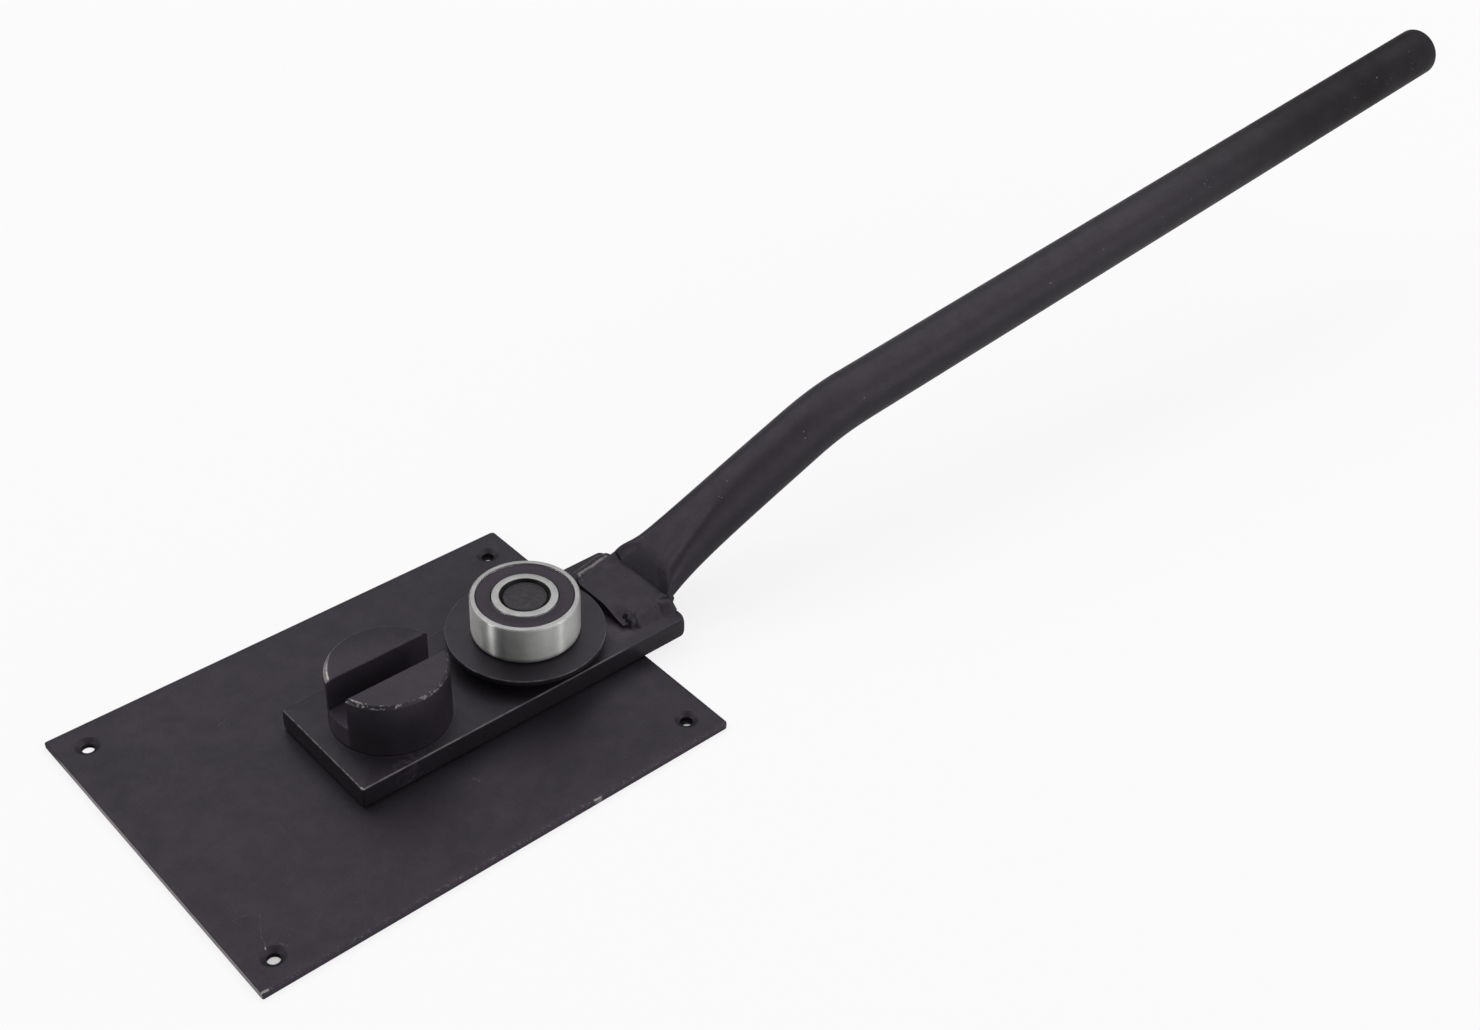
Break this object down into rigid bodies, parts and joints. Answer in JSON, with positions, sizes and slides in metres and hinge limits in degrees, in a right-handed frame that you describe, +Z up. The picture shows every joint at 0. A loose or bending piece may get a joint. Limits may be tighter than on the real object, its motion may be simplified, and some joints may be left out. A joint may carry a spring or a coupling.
{
  "type": "rod bender",
  "caption": "Bench-mounted rod bender: a slotted post on a base plate, and a long-handled lever that swings a ball-bearing roller round the post.",
  "frame": {"origin": "on the post's axis, at the underside of the base plate", "axes": "+Z up along the post, +X along the lever towards its handle at rest, +Y across the lever"},
  "size_m": [0.829, 0.168, 0.1291],
  "materials": {
    "plate_black": "satin black coat, faintly mottled, worn bright along its rolled edges",
    "post_black": "satin oxide black, bare metal on the rubbed chamfer",
    "bar_black": "satin black coat with worn edges",
    "handle_black": "satin black coat over drawn tube",
    "disc_black": "satin black, faint turned rings, bright rim",
    "weld_dark": "coated weld bead, rippled",
    "bearing_steel": "ground bearing steel",
    "ball_steel": "polished",
    "pressed_steel": "pressed sheet, phosphated",
    "seal_rubber": "moulded, satin",
    "insert_steel": "rolled sheet",
    "pin_steel": "dark, rough end face",
    "washer_steel": "plain washer"
  },
  "bodies": {
    "base": {"base_plate": "plate_black", "pivot_post": "post_black", "post_weld": "weld_dark", "thrust_washer": "washer_steel"},
    "lever": {"lever_bar": "bar_black", "handle_tube": "handle_black", "handle_weld_near": "weld_dark", "handle_weld_far": "weld_dark", "handle_weld_end": "weld_dark", "handle_weld_corner": "weld_dark", "roller_pin": "pin_steel", "pin_weld": "weld_dark", "pin_collar": "bar_black", "guide_disc": "disc_black", "bearing_shim": "washer_steel", "bearing_inner_ring": "bearing_steel"},
    "roller": {"bearing_outer_ring": "bearing_steel", "bearing_seal_upper": "seal_rubber", "bearing_seal_lower": "seal_rubber", "seal_insert_upper": "insert_steel", "seal_insert_lower": "insert_steel"},
    "ball_set": {"bearing_balls": "ball_steel", "bearing_cage_upper": "pressed_steel", "bearing_cage_lower": "pressed_steel", "bearing_cage_rivets": "pressed_steel"}
  },
  "joints": [
    {"name": "lever_swing", "type": "hinge", "parent": "base", "child": "lever", "pos_m": [0, 0, 0.009], "axis": [0, 0, 1], "continuous": true},
    {"name": "roller_spin", "type": "hinge", "parent": "lever", "child": "roller", "pos_m": [0.0693, 0, 0.0323], "axis": [0, 0, 1], "continuous": true},
    {"name": "cage_spin", "type": "hinge", "parent": "lever", "child": "ball_set", "pos_m": [0.0693, 0, 0.0323], "axis": [0, 0, 1], "continuous": true}
  ],
  "couplings": [
    {"joint": "cage_spin", "follows": "roller_spin", "ratio": 0.6185}
  ]
}
